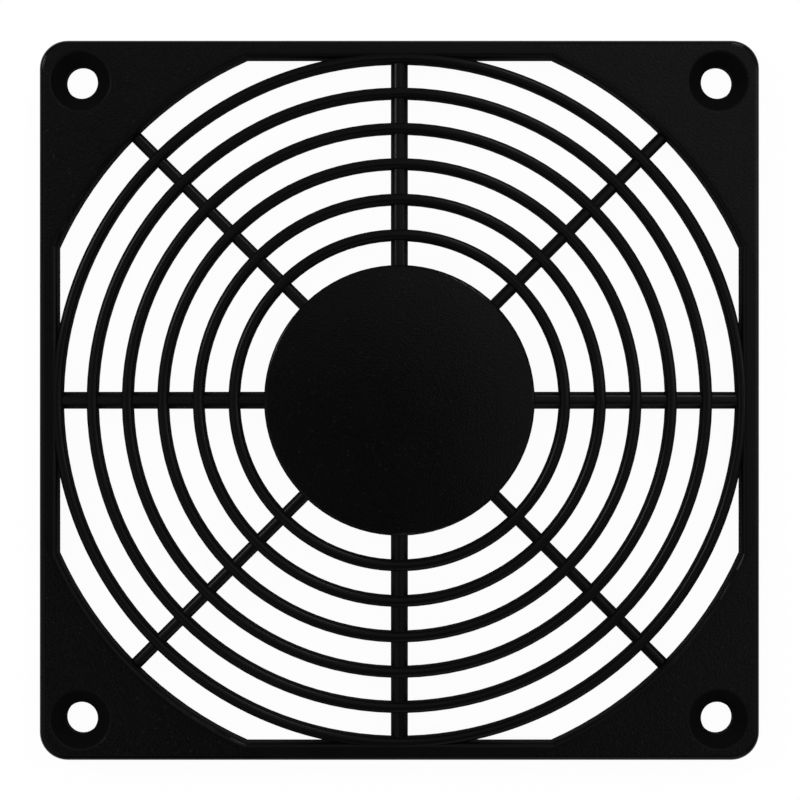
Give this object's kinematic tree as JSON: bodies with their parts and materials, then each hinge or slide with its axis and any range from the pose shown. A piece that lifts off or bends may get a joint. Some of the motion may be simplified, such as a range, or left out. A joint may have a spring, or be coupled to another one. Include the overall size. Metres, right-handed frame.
{
  "type": "plastic fan grille",
  "caption": "Square moulded fan grille with a domed guard of concentric rings and radial spokes round a solid hub, and countersunk corner holes that screw it to an axial fan.",
  "frame": {"origin": "on the fan's axis, in the plane of the frame's flat back", "axes": "+Z along the fan's axis, out of the domed front; +X and +Y along the frame's sides"},
  "size_m": [0.1186, 0.1186, 0.009],
  "materials": {
    "black_plastic": "fine moulded grain on the flat faces, smoother and slightly glossy on the rings, spokes and edges"
  },
  "bodies": {
    "root": {"fan_grille": "black_plastic"}
  },
  "joints": []
}
